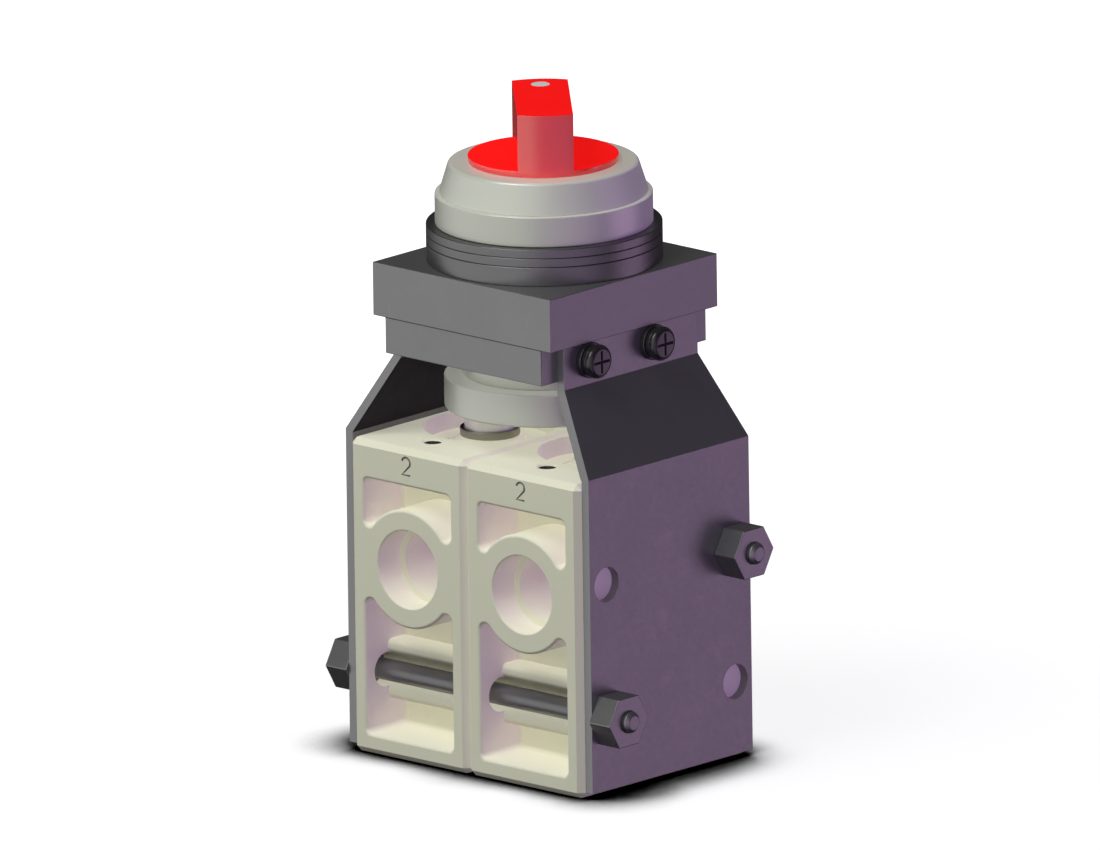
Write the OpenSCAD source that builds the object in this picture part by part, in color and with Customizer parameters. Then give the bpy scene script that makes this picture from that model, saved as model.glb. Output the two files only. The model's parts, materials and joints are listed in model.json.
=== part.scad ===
/* [Valve bodies] */
// Width of one valve body, side to side
body_w = 25.5; // [25:0.1:28]
// Depth of a body from its front face to its rear face
body_d = 40.6; // [40:0.1:43]
// Height of a body
body_h = 53; // [52.5:0.1:56]
// Chamfer along every outer edge of a body
body_chamfer = 1; // [0.5:0.1:1.4]
// Side wall left beside the windows
window_wall = 3.15; // [2.6:0.05:3.6]
// How far the windows reach in from a face
window_depth = 9.4; // [8.6:0.1:9.8]
// Height of the sill of the front upper window
upper_sill_z = 38.6; // [38:0.1:39.6]
// Height of the top edge of the front upper window
upper_top_z = 46.6; // [46:0.1:47.4]
// Height of the floor of the front lower window
lower_floor_z = 3.4; // [3:0.1:4]
// Height of the top corners of the front lower window
lower_top_z = 26.3; // [25.5:0.1:26.8]

/* [Ports] */
// Bore of a port at its mouth, for a quarter inch taper pipe thread
port_d = 13.16; // [12:0.02:14]
// Depth of the threaded bore
port_depth = 5.2; // [4:0.1:8]
// Bore behind the thread
port_inner_d = 11; // [9:0.1:11.5]
// Outside of the round boss around a port
boss_d = 20; // [19:0.1:20.4]
// Height of the front port above the base
front_port_z = 32.6; // [32.2:0.1:33]

/* [Tie rods] */
// Diameter of a tie rod
rod_d = 3.6; // [3.2:0.1:5.4]
// Clearance hole for a tie rod in plates and bodies
rod_hole_d = 5.8; // [5.6:0.1:6.4]
// Distance of a rod's axis behind the face of the bodies
rod_inset = 5; // [4.5:0.1:5.3]
// Height of the front rod
rod_low_z = 13.25; // [13:0.05:13.6]
// Height of the rear rod
rod_high_z = 35.7; // [35.4:0.1:36]
// Height of the ribbed saddle that holds a rod
saddle_h = 10.1; // [9:0.1:10.6]
// How far the saddle stands out of the window's back wall
saddle_reach = 4; // [3.6:0.1:5.2]
// Rounding of the saddle's outer edges
saddle_round = 1; // [0.6:0.1:1.8]
// Width across the flats of a nut
nut_af = 8.2; // [7.6:0.1:9]
// Thickness of a nut
nut_h = 4.6; // [3:0.1:5]
// Rod end standing out of its nut
rod_proud = 1.2; // [0.8:0.1:3]
// Chamfer on the end of a rod
rod_tip = 0.6; // [0.2:0.1:0.7]

/* [Side plates] */
// Sheet thickness of a side plate
plate_t = 1.6; // [1:0.1:2]
// Distance of a plate's edges behind the faces of the bodies
plate_inset = 1; // [0.3:0.1:1.8]
// Depth of a plate beside the operator block
plate_top_d = 32.2; // [30:0.1:34]
// Height of the plate's lower edge above the base
plate_lift = 1; // [0.4:0.1:2]
// Height of the lower bend above the top of the bodies
bend_rise = 1; // [0.5:0.1:2]
// Drop of the upper bend below the operator block
bend_drop = 1.1; // [0.6:0.1:2]

/* [Plate screws] */
// Thread diameter of a plate screw
screw_d = 3; // [2.5:0.1:3.2]
// Distance of a screw's end from the recess for the cam's neck
screw_wall = 0.1; // [0.1:0.1:0.8]
// Head diameter of a plate screw
screw_head_d = 5.7; // [5.4:0.1:6]
// Head height of a plate screw
screw_head_h = 1.2; // [1:0.1:2]
// Thickness of a spring washer
spring_washer_t = 0.9; // [0.6:0.1:1]
// Outside diameter of a spring washer
spring_washer_d = 5.4; // [5.1:0.1:5.7]
// Thickness of a flat washer
flat_washer_t = 0.9; // [0.5:0.1:1]
// Outside diameter of a flat washer
flat_washer_d = 6; // [5.8:0.1:6.6]
// Distance of the front screw from the middle plane
screw_front_y = 10.2; // [9:0.1:11]
// Distance of the rear screw from the middle plane
screw_rear_y = 5.1; // [4.5:0.1:10]
// Height of the screws above the underside of the block
screw_rise = 3; // [2.8:0.1:3.2]

/* [Operator block] */
// Width of the block's flange
flange_w = 39.6; // [39:0.1:42]
// Depth of the block's flange
flange_d = 40.3; // [39:0.1:42]
// Thickness of the flange
flange_h = 9; // [8:0.1:10]
// Inset of the step below the flange, left and right
step_side = 2.4; // [1.8:0.1:2.8]
// Inset of the step below the flange, front and rear
step_front = 0.3; // [0.1:0.1:0.9]
// Height of the step
step_h = 6.1; // [6:0.1:7]

/* [Bezel and rings] */
// Outside diameter of the black rings
ring_d = 38.8; // [37:0.1:39.4]
// Thickness of the gasket
gasket_h = 3.2; // [2:0.1:4]
// Thickness of each black washer
washer_h = 1.5; // [1:0.1:2]
// Diameter of the lock ring
lock_ring_d = 35.8; // [35:0.1:37]
// Height of the lock ring
lock_ring_h = 5.1; // [4:0.1:6]
// Diameter of the bezel at its foot
bezel_d = 34.4; // [33:0.1:35]
// Diameter of the bezel at its top
bezel_top_d = 31.2; // [29:0.1:32.6]
// Height of the bezel
bezel_h = 5.2; // [4.6:0.1:6]
// Outside diameter of the threaded barrel
barrel_d = 28; // [26:0.2:29]

/* [Knob] */
// Diameter of the knob's disc
knob_d = 24.8; // [23:0.1:27]
// Thickness of the knob's disc
knob_disc_h = 1; // [0.8:0.1:2]
// Width of the grip across the knob
grip_w = 9.2; // [8:0.1:11]
// Height of the grip above the disc
grip_h = 9.5; // [8:0.1:12]
// Angle the knob turns through
knob_turn = 90; // [80:1:100]
// Diameter of the marker dot
dot_d = 3.1; // [2:0.1:4]
// Distance of the marker dot from the knob's axis
dot_r = 8.8; // [7:0.1:9.4]
// Diameter of the hub below the disc
hub_d = 16; // [14:0.1:17]
// Diameter of the spindle
spindle_d = 8; // [6:0.1:8.4]

/* [Cam] */
// Diameter of the cam disc
cam_d = 33.5; // [33.2:0.1:34.6]
// Thickness of the cam disc
cam_h = 5.5; // [5:0.1:6.5]
// Open height between the bodies and the cam disc
cam_air = 5.9; // [5.5:0.1:7]
// Diameter of the neck above the cam disc
neck_d = 27.6; // [26:0.1:28]
// Visible height of the neck
neck_h = 4; // [3:0.1:5]
// Travel of a plunger from free to pressed
stroke = 2.5; // [1.5:0.1:2.6]

/* [Plungers] */
// Diameter of a plunger rod
plunger_d = 8.4; // [8:0.1:8.6]
// Diameter of the grey collar round a plunger
collar_d = 9.9; // [9.8:0.1:10.8]
// Height of the collar
collar_h = 1.35; // [1:0.05:1.8]
// Foot of the guide bush where it flares out
bush_flare_d = 12.4; // [12:0.1:14]
// Height of the flared foot above the recess floor
bush_flare_h = 1.4; // [1:0.1:1.8]
// Diameter of the recess in the top of a body
recess_d = 22.1; // [21:0.1:22.6]
// Depth of that recess
recess_depth = 2.8; // [2:0.1:3.2]
// Small blind holes in the top of a body
top_hole_d = 3; // [2:0.1:3.6]
// Depth of the small blind holes
top_hole_depth = 4.5; // [3:0.1:5]
// Distance of the small holes behind the faces of the body
top_hole_inset = 6.5; // [5.3:0.1:6.9]

/* [Valve inside] */
// Outside diameter of the guide bush
bush_d = 14.4; // [14.2:0.1:15.2]
// Length of the guide bush below the recess
bush_len = 7.2; // [6.6:0.1:8]
// Bore of the upper chamber
chamber_d = 14; // [13.4:0.1:14.2]
// Bore of the lower chamber, which holds the seat
seat_bore_d = 15; // [14.6:0.1:15.4]
// Height of the seat
seat_h = 4; // [3:0.1:4.6]
// Hole through the seat
seat_hole_d = 8; // [7.4:0.1:8.6]
// Diameter of the stem below the plunger
stem_d = 4.8; // [4:0.1:5.4]
// Diameter of the poppet
poppet_d = 11.4; // [11:0.1:12]
// Diameter of the bottom plug
plug_d = 16.4; // [16:0.1:17]
// Length of the bottom plug
plug_h = 6.4; // [5.8:0.1:7]
// Wire diameter of the springs
wire_d = 0.9; // [0.6:0.1:1]
// Section diameter of the sealing rings
seal_d = 1.6; // [1.2:0.1:1.8]

/* [Hidden] */
// Clearance of parts that are pressed or screwed together
fit_gap = 0.05;
// Radial clearance of shafts that turn or slide
run_gap = 0.06;
// Clearance between bodies that pass each other
free_gap = 0.3;
// Clearance between a plunger tip and the cam
tip_gap = 0.25;
// Overshoot of every cut
cut = 0.5;
$fn = 96;

BODY = "#dfddc6";
BLACK = "#3a3a3c";
DARK = "#2b2a2b";
GREY = "#b9b9af";
STEEL = "#a9a9ad";
RED = "#ff1919";
RUBBER = "#1d1d1f";

body_x = body_w / 2;
face_mid_z = (rod_low_z + rod_high_z) / 2;
window_half = body_w / 2 - window_wall;
window_y = body_d / 2 - window_depth;
rod_y = body_d / 2 - rod_inset;
top_hole_y = body_d / 2 - top_hole_inset;
// Draft of the recess in the top of a body, and the height of its wider rim
recess_draft = 0.4;
recess_rim_h = 1.2;

plate_x = body_w + plate_t;
plate_d = body_d - 2 * plate_inset;
step_w = flange_w - 2 * step_side;
step_d = flange_d - 2 * step_front;
plate_bend_z = body_h + bend_rise;
cam_z = body_h + cam_air;
neck_z = cam_z + cam_h;
block_z = neck_z + neck_h;
flange_z = block_z + step_h;
flange_top_z = flange_z + flange_h;
plate_top_x = step_w / 2 + plate_t;
plate_slant_z = block_z - bend_drop;
screw_z = block_z + screw_rise;
screw_ys = [-screw_front_y, screw_rear_y];
screw_head_z = flat_washer_t + spring_washer_t;
screw_edge = 0.4;
cross_w = 0.6;
washer_split = 0.6;

gasket_top_z = flange_top_z + gasket_h;
washer_top_z = gasket_top_z + washer_h;
ring_top_z = washer_top_z + washer_h;
lock_top_z = ring_top_z + lock_ring_h;
bezel_top_z = lock_top_z + bezel_h;
knob_z = bezel_top_z + fit_gap;
grip_z = knob_z + knob_disc_h;
knob_top_z = grip_z + grip_h;

// Spindle, barrel and stop inside the operator
neck_entry = 2;
neck_room_d = neck_d + 2 * free_gap;
neck_room_top_z = block_z + neck_entry + 2 * free_gap;
screw_grip = step_w / 2 - neck_room_d / 2 - screw_wall;
stop_room_d = 25;
barrel_rise = 7.6;
barrel_z = block_z + barrel_rise;
barrel_drop = 1.4;
barrel_top_z = bezel_top_z - barrel_drop;
grip_angle = 90 + knob_turn / 2;
dot_depth = 1;
hub_h = 5;
hub_z = knob_z - hub_h;
hub_room_z = hub_z - free_gap;
hub_room_d = hub_d + 2 * free_gap;
bush_wall = 2;
bush_out_d = spindle_d + 2 * bush_wall;
bush_rise = 0.6;
spindle_bush_z = barrel_z + bush_rise;
spindle_seal_room = 3;
spindle_bush_h = hub_room_z - spindle_seal_room - spindle_bush_z;
spindle_seal_z = hub_room_z - spindle_seal_room / 2;
spindle_drop = 1;
spindle_top_z = knob_z - spindle_drop;
spindle_rise = 1.4;
spindle_z = cam_z + spindle_rise;
wave_t = 0.4;
stop_disc_h = 3;
stop_disc_z = barrel_z - wave_t - 2 * fit_gap - stop_disc_h;
stop_disc_d = 23.6;
stop_r = 9;
stop_pin_d = 2.4;
stop_slot_w = stop_pin_d + 2 * free_gap;
stop_pin_len = 8;
stop_pin_rise = 0.6;
knob_pin_d = 2;
knob_pin_rise = 2.2;
knob_pin_z = hub_z + knob_pin_rise;
knob_pin_inset = 0.4;
cam_screw_d = 4;
cam_screw_head_d = 7;
cam_screw_head_h = 1.6;
cam_screw_len = 9;
cam_screw_room = 1;
cam_socket_af = 2.6;
cam_socket_depth = 1;

// The cam is a ring groove with a tilted roof, so each plunger rises and falls evenly
cam_lip = 0.2;
cam_roof = 0.6;
cam_mean_z = cam_z + cam_lip + stroke / 2;
cam_swing = stroke / 2 / sin(knob_turn / 2);
cam_tilt = atan(cam_swing / body_x);
tip_d = 5.6;
groove_half = tip_d / 2 + free_gap;
tip_ball_r = 3.4;

// Heights inside a valve body, for a plunger that is free
recess_floor_z = body_h - recess_depth;
bush_z = recess_floor_z - bush_len;
collar_z = recess_floor_z + bush_flare_h;
seat_z = face_mid_z - seat_h / 2;
seat_top_z = face_mid_z + seat_h / 2;
plug_z = 1;
plug_top_z = plug_z + plug_h;
plug_mid_z = plug_z + plug_h / 2;
plug_floor = 1;
plug_slot_w = 1.2;
plug_slot_depth = 0.6;
tip_z = cam_mean_z + stroke / 2 - tip_gap;
rod_top_z = cam_z - free_gap;
shoulder_h = 1.6;
shoulder_d = 12.4;
shoulder_z = bush_z - fit_gap - shoulder_h;
poppet_h = 3;
poppet_seal_h = 1.1;
poppet_top_z = seat_z;
poppet_z = poppet_top_z - poppet_h;
poppet_stem_d = 4.6;
poppet_guide = 1.5;
spring_r = 5.2;
poppet_spring_r = 4.2;
spring_turns = 7;
poppet_spring_turns = 5;

// A plain ring or tube standing on the given height
module tube(outer_d, inner_d, z0, z1) {
  translate([0, 0, z0]) difference() {
    cylinder(d = outer_d, h = z1 - z0);
    translate([0, 0, -cut]) cylinder(d = inner_d, h = z1 - z0 + 2 * cut);
  }
}

// A round bar standing on the given height
module bar(d, z0, z1) {
  translate([0, 0, z0]) cylinder(d = d, h = z1 - z0);
}

// A block centred on X and Y
module block(w, d, z0, z1) {
  translate([-w / 2, -d / 2, z0]) cube([w, d, z1 - z0]);
}

// A sealing ring with a round section
module seal_ring(inner_d, z) {
  translate([0, 0, z]) rotate_extrude() translate([inner_d / 2 + seal_d / 2, 0]) circle(d = seal_d - 2 * fit_gap);
}

// Room for a sealing ring, cut from a bore outwards or from a bar inwards
module seal_groove(inner_d, z) {
  tube(inner_d + 2 * seal_d, inner_d - cut, z - seal_d / 2 - fit_gap, z + seal_d / 2 + fit_gap);
}

// A coil spring as a swept round wire
module coil(mean_r, z0, z1, turns) {
  sides = 6;
  per_turn = 18;
  steps = turns * per_turn;
  wire_r = wire_d / 2;
  rise = z1 - z0 - wire_d;
  points = [
    for (i = [0:steps], j = [0:sides - 1])
      let (a = 360 * i / per_turn, t = 360 * j / sides, r = mean_r + wire_r * cos(t))
        [r * cos(a), r * sin(a), z0 + wire_r + rise * i / steps + wire_r * sin(t)]
  ];
  sleeve = [
    for (i = [0:steps - 1], j = [0:sides - 1])
      let (k = (j + 1) % sides, p = i * sides, q = p + sides)
        each [[p + j, p + k, q + k], [p + j, q + k, q + j]]
  ];
  near_cap = [for (j = [sides - 1:-1:0]) j];
  far_cap = [for (j = [0:sides - 1]) steps * sides + j];
  polyhedron(points, concat(sleeve, [near_cap], [far_cap]));
}

// Places a child on the left or the right valve
module valve_side(side) {
  translate([side * body_x, 0, 0]) children();
}

// Turns a front feature into the matching rear feature of a body
module rear_face() {
  translate([0, 0, face_mid_z]) rotate([180, 0, 0]) translate([0, 0, -face_mid_z]) children();
}

// Outline with its four corners cut off, in its own plane
module chamfered_outline(w, h) {
  c = body_chamfer;
  polygon([
    [-w / 2 + c, 0], [w / 2 - c, 0], [w / 2, c], [w / 2, h - c],
    [w / 2 - c, h], [-w / 2 + c, h], [-w / 2, h - c], [-w / 2, c]
  ]);
}

// Outer form of a valve body
module body_blank() {
  intersection() {
    translate([0, body_d / 2, 0]) rotate([90, 0, 0]) linear_extrude(body_d) chamfered_outline(body_w, body_h);
    translate([-body_w / 2, 0, 0]) rotate([90, 0, 90]) linear_extrude(body_w) chamfered_outline(body_d, body_h);
    linear_extrude(body_h) translate([0, -body_d / 2]) chamfered_outline(body_w, body_d);
  }
}

// Saddle bar across the lower window, with rounded outer edges, seen from the side
module saddle_outline() {
  back = -window_y + cut;
  front = -window_y - saddle_reach;
  r = saddle_round;
  top = rod_low_z + saddle_h / 2;
  bottom = rod_low_z - saddle_h / 2;
  union() {
    translate([front + r, bottom]) square([back - front - r, saddle_h]);
    translate([front, bottom + r]) square([r + cut, saddle_h - 2 * r]);
    for (z = [bottom + r, top - r]) translate([front + r, z]) circle(r = r);
  }
}

// Windows of the front face, cut around the port boss and the saddle
module front_windows() {
  w = 2 * window_half;
  depth = window_depth;
  difference() {
    union() {
      translate([-w / 2, -body_d / 2 - cut, upper_sill_z]) cube([w, depth + cut, upper_top_z - upper_sill_z]);
      translate([-w / 2, -body_d / 2 - cut, lower_floor_z]) cube([w, depth + cut, lower_top_z - lower_floor_z]);
    }
    translate([0, -body_d / 2 - 2 * cut, front_port_z]) rotate([-90, 0, 0]) cylinder(d = boss_d, h = depth + 3 * cut);
    translate([-w / 2 - cut, 0, 0]) rotate([90, 0, 90]) linear_extrude(w + 2 * cut) saddle_outline();
  }
}

// Threaded port bore and the passage behind it
module front_port() {
  translate([0, -body_d / 2 - cut, front_port_z]) rotate([-90, 0, 0]) cylinder(d = port_d, h = port_depth + cut);
  translate([0, -body_d / 2, front_port_z]) rotate([-90, 0, 0]) cylinder(d = port_inner_d, h = body_d / 2 - seat_hole_d / 2);
}

// Hole for a tie rod, from side to side
module rod_hole() {
  translate([-body_w / 2 - cut, -rod_y, rod_low_z]) rotate([0, 90, 0]) cylinder(d = rod_hole_d, h = body_w + 2 * cut);
}

module valve_body(side) color(BODY) valve_side(side) difference() {
  body_blank();
  front_windows();
  front_port();
  rod_hole();
  rear_face() {
    front_windows();
    front_port();
    rod_hole();
  }
  bar(recess_d - 2 * recess_draft, recess_floor_z, body_h + cut);
  translate([0, 0, body_h - recess_rim_h])
    cylinder(d1 = recess_d - 2 * recess_draft, d2 = recess_d, h = recess_rim_h + fit_gap);
  bar(bush_d + 2 * fit_gap, bush_z, recess_floor_z + cut);
  bar(chamber_d, seat_top_z - cut, bush_z + cut);
  bar(seat_bore_d, plug_top_z - cut, seat_top_z);
  bar(plug_d + 2 * fit_gap, -cut, plug_top_z);
  for (y = [-top_hole_y, top_hole_y])
    translate([0, y, body_h - top_hole_depth]) cylinder(d = top_hole_d, h = top_hole_depth + cut);
}

module guide_bush(side) color(BODY) valve_side(side) difference() {
  union() {
    bar(bush_d, bush_z, recess_floor_z);
    translate([0, 0, recess_floor_z]) cylinder(d1 = bush_flare_d, d2 = collar_d, h = bush_flare_h);
  }
  bar(plunger_d + 2 * run_gap, bush_z - cut, collar_z + cut);
  seal_groove(plunger_d + 2 * run_gap, bush_z + bush_len / 2);
}

module plunger_collar(side) color(STEEL) valve_side(side)
  tube(collar_d, plunger_d + 2 * run_gap, collar_z, collar_z + collar_h);

module rod_seal(side) color(RUBBER) valve_side(side)
  seal_ring(plunger_d + 2 * run_gap, bush_z + bush_len / 2);

// The right plunger is held down by the cam at rest
function plunger_drop(side) = side > 0 ? stroke : 0;

module plunger(side) color("silver") valve_side(side) translate([0, 0, -plunger_drop(side)]) {
  bar(plunger_d, shoulder_z + shoulder_h - fit_gap, rod_top_z);
  bar(shoulder_d, shoulder_z, shoulder_z + shoulder_h);
  bar(stem_d, poppet_top_z + fit_gap, shoulder_z + fit_gap);
  intersection() {
    bar(tip_d, rod_top_z - fit_gap, tip_z);
    translate([0, 0, tip_z - tip_ball_r]) sphere(r = tip_ball_r);
  }
}

module return_spring(side) color("silver") valve_side(side)
  coil(spring_r, seat_top_z + fit_gap, shoulder_z - fit_gap - plunger_drop(side), spring_turns);

module seat(side) color("#c8a24a") valve_side(side) difference() {
  bar(seat_bore_d - 2 * fit_gap, seat_z + fit_gap, seat_top_z - fit_gap);
  bar(seat_hole_d, seat_z - cut, seat_top_z + cut);
  seal_cut_d = seat_bore_d - 2 * seal_d - 2 * fit_gap;
  tube(seat_bore_d + cut, seal_cut_d, face_mid_z - seal_d / 2 - fit_gap, face_mid_z + seal_d / 2 + fit_gap);
}

module seat_seal(side) color(RUBBER) valve_side(side)
  seal_ring(seat_bore_d - 2 * seal_d, face_mid_z);

module poppet(side) color(GREY) valve_side(side) translate([0, 0, -plunger_drop(side)]) {
  bar(poppet_d, poppet_z, poppet_top_z - poppet_seal_h);
  bar(stem_d, poppet_z, poppet_top_z);
  bar(poppet_stem_d, plug_top_z - poppet_guide, poppet_z + fit_gap);
}

module poppet_seal(side) color(RUBBER) valve_side(side) translate([0, 0, -plunger_drop(side)])
  tube(poppet_d, stem_d + 2 * fit_gap, poppet_top_z - poppet_seal_h, poppet_top_z);

module poppet_spring(side) color("silver") valve_side(side)
  coil(poppet_spring_r, plug_top_z + fit_gap, poppet_z - fit_gap - plunger_drop(side), poppet_spring_turns);

module bottom_plug(side) color("#c8a24a") valve_side(side) difference() {
  bar(plug_d, plug_z, plug_top_z - fit_gap);
  bar(poppet_stem_d + 2 * run_gap, plug_z + plug_floor, plug_top_z + cut);
  tube(plug_d + cut, plug_d - 2 * seal_d, plug_mid_z - seal_d / 2 - fit_gap, plug_mid_z + seal_d / 2 + fit_gap);
  block(plug_d / 2, plug_slot_w, plug_z - cut, plug_z + plug_slot_depth);
}

module plug_seal(side) color(RUBBER) valve_side(side)
  seal_ring(plug_d - 2 * seal_d + 2 * fit_gap, plug_mid_z);

module tie_rod(y, z) color(BLACK) translate([0, y, z]) rotate([0, 90, 0]) {
  end_x = plate_x + nut_h + rod_proud;
  bar(rod_d, -end_x + rod_tip, end_x - rod_tip);
  for (flip = [0, 180]) rotate([flip, 0, 0]) translate([0, 0, end_x - rod_tip])
    cylinder(d1 = rod_d, d2 = rod_d - 2 * rod_tip, h = rod_tip);
}

module front_tie_rod() tie_rod(-rod_y, rod_low_z);

module rear_tie_rod() tie_rod(rod_y, rod_high_z);

// Hexagon nut on the X axis with its flats above and below
module nut() rotate([0, 90, 0]) difference() {
  cylinder(d = nut_af / cos(30), h = nut_h, $fn = 6);
  translate([0, 0, -cut]) cylinder(d = rod_d + 2 * fit_gap, h = nut_h + 2 * cut);
}

module tie_rod_nuts() color(BLACK)
  for (side = [-1, 1], place = [[-rod_y, rod_low_z], [rod_y, rod_high_z]])
    translate([side > 0 ? plate_x : -plate_x - nut_h, place[0], place[1]]) rotate([90, 0, 0]) nut();

// Cross section of the right side plate, seen from the front
module plate_section() {
  slant = atan((plate_x - plate_top_x) / (plate_slant_z - plate_bend_z));
  tuck = plate_t * tan(slant / 2);
  polygon([
    [plate_x - plate_t, plate_lift], [plate_x, plate_lift], [plate_x, plate_bend_z],
    [plate_top_x, plate_slant_z], [plate_top_x, flange_z],
    [plate_top_x - plate_t, flange_z], [plate_top_x - plate_t, plate_slant_z - tuck],
    [plate_x - plate_t, plate_bend_z - tuck]
  ]);
}

// The plate's outline, seen from the side
module plate_outline() {
  polygon([
    [-plate_d / 2, plate_lift], [plate_d / 2, plate_lift], [plate_d / 2, plate_bend_z],
    [plate_top_d / 2, plate_slant_z], [plate_top_d / 2, flange_z],
    [-plate_top_d / 2, flange_z], [-plate_top_d / 2, plate_slant_z], [-plate_d / 2, plate_bend_z]
  ]);
}

module side_plate(side) color(DARK) mirror([side < 0 ? 1 : 0, 0, 0]) difference() {
  intersection() {
    translate([0, plate_d / 2, 0]) rotate([90, 0, 0]) linear_extrude(plate_d) plate_section();
    rotate([90, 0, 90]) linear_extrude(plate_x + cut) plate_outline();
  }
  for (y = [-rod_y, rod_y], z = [rod_low_z, rod_high_z])
    translate([plate_x - plate_t - cut, y, z]) rotate([0, 90, 0]) cylinder(d = rod_hole_d, h = plate_t + 2 * cut);
  for (y = screw_ys)
    translate([plate_top_x - plate_t - cut, y, screw_z]) rotate([0, 90, 0])
      cylinder(d = screw_d + 2 * free_gap, h = plate_t + 2 * cut);
}

// Repeats a child at the four plate screws, on the face of its plate, pointing outwards
module at_screws() {
  for (side = [0, 1], y = screw_ys)
    mirror([side, 0, 0]) translate([plate_top_x, y, screw_z]) rotate([0, 90, 0]) children();
}

module plate_screws() color(BLACK) at_screws() difference() {
  top_z = screw_head_z + screw_head_h;
  union() {
    bar(screw_d, -plate_t - screw_grip, screw_head_z + fit_gap);
    bar(screw_head_d, screw_head_z, top_z - screw_edge);
    translate([0, 0, top_z - screw_edge])
      cylinder(d1 = screw_head_d, d2 = screw_head_d - 4 * screw_edge, h = screw_edge);
  }
  for (turn = [0, 90]) rotate([0, 0, turn])
    block(screw_head_d * 3 / 5, cross_w, screw_head_z + screw_head_h / 3, top_z + cut);
}

module spring_washers() color(BLACK) at_screws() difference() {
  tube(spring_washer_d, screw_d + 4 * fit_gap, flat_washer_t, screw_head_z);
  translate([spring_washer_d / 2, 0, 0]) block(spring_washer_d, washer_split, flat_washer_t - cut, screw_head_z + cut);
}

module flat_washers() color(BLACK) at_screws()
  tube(flat_washer_d, screw_d + 4 * fit_gap, 0, flat_washer_t);

module operator_block() color(BLACK) difference() {
  union() {
    block(step_w, step_d, block_z, flange_z + fit_gap);
    block(flange_w, flange_d, flange_z, flange_top_z);
  }
  bar(neck_room_d, block_z - cut, neck_room_top_z);
  bar(stop_room_d, neck_room_top_z - cut, barrel_z + fit_gap);
  bar(barrel_d + 2 * fit_gap, barrel_z, flange_top_z + cut);
  at_screws() bar(screw_d + 2 * fit_gap, -plate_t - screw_grip - 2 * fit_gap, cut);
}

module panel_gasket() color(RUBBER) tube(ring_d, barrel_d + 2 * fit_gap, flange_top_z, gasket_top_z);

module lower_washer() color(BLACK) tube(ring_d, barrel_d + 2 * fit_gap, gasket_top_z, washer_top_z);

module upper_washer() color(BLACK) tube(ring_d, barrel_d + 2 * fit_gap, washer_top_z, ring_top_z);

module lock_ring() color(GREY) tube(lock_ring_d, barrel_d + 2 * fit_gap, ring_top_z, lock_top_z);

module bezel() color(GREY) difference() {
  translate([0, 0, lock_top_z]) cylinder(d1 = bezel_d, d2 = bezel_top_d, h = bezel_h);
  bar(barrel_d + 2 * fit_gap, lock_top_z - cut, barrel_top_z + fit_gap);
  bar(hub_room_d, lock_top_z, bezel_top_z + cut);
}

module threaded_barrel() color(STEEL) difference() {
  bar(barrel_d, barrel_z + fit_gap, barrel_top_z);
  bar(bush_out_d + 2 * fit_gap, barrel_z - cut, hub_room_z + cut);
  bar(hub_room_d, hub_room_z, barrel_top_z + cut);
  rotate([0, 0, grip_angle]) translate([stop_r, 0, 0])
    bar(stop_pin_d + 2 * fit_gap, barrel_z - cut, stop_disc_z + stop_pin_len + fit_gap);
}

module spindle_bush() color("#c8a24a")
  tube(bush_out_d, spindle_d + 2 * run_gap, spindle_bush_z, spindle_bush_z + spindle_bush_h);

module spindle_seal() color(RUBBER) seal_ring(spindle_d + 2 * run_gap, spindle_seal_z);

module spindle() color(STEEL) difference() {
  bar(spindle_d, spindle_z, spindle_top_z);
  bar(cam_screw_d + 2 * fit_gap, spindle_z - cut, cam_z + cam_screw_len + cam_screw_room);
  knob_pin_hole();
}

// Cross hole for the pin that holds the knob on the spindle
module knob_pin_hole() {
  rotate([0, 0, grip_angle]) translate([0, -hub_d / 2 - cut, knob_pin_z]) rotate([-90, 0, 0])
    cylinder(d = knob_pin_d + 2 * fit_gap, h = hub_d + 2 * cut);
}

module wave_washer() color(STEEL)
  tube(stop_r * 2 - stop_slot_w, spindle_d + 2 * free_gap, barrel_z - wave_t, barrel_z);

// The slot lets the spindle turn by the knob's travel and no more
module stop_disc() color(STEEL) difference() {
  bar(stop_disc_d, stop_disc_z, stop_disc_z + stop_disc_h);
  bar(spindle_d + 2 * fit_gap, stop_disc_z - cut, stop_disc_z + stop_disc_h + cut);
  rotate([0, 0, grip_angle]) translate([0, 0, stop_disc_z - cut]) {
    rotate_extrude(angle = knob_turn) translate([stop_r - stop_slot_w / 2, 0])
      square([stop_slot_w, stop_disc_h + 2 * cut]);
    for (a = [0, knob_turn]) rotate([0, 0, a]) translate([stop_r, 0, 0])
      cylinder(d = stop_slot_w, h = stop_disc_h + 2 * cut);
  }
}

module stop_pin() color(STEEL) rotate([0, 0, grip_angle]) translate([stop_r, 0, 0])
  bar(stop_pin_d, stop_disc_z + stop_pin_rise, stop_disc_z + stop_pin_len);

module knob() color(RED) difference() {
  union() {
    bar(knob_d, knob_z, grip_z);
    intersection() {
      bar(knob_d, grip_z - fit_gap, knob_top_z);
      rotate([0, 0, grip_angle]) block(knob_d + cut, grip_w, grip_z - fit_gap, knob_top_z);
    }
    bar(hub_d, hub_z, knob_z + fit_gap);
  }
  bar(spindle_d + 2 * fit_gap, hub_z - cut, spindle_top_z + fit_gap);
  knob_pin_hole();
  rotate([0, 0, grip_angle]) translate([dot_r, 0, 0]) bar(dot_d + 2 * fit_gap, knob_top_z - dot_depth, knob_top_z + cut);
}

module knob_marker() color("#d9d9d4") rotate([0, 0, grip_angle]) translate([dot_r, 0, 0])
  bar(dot_d, knob_top_z - dot_depth, knob_top_z);

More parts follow.
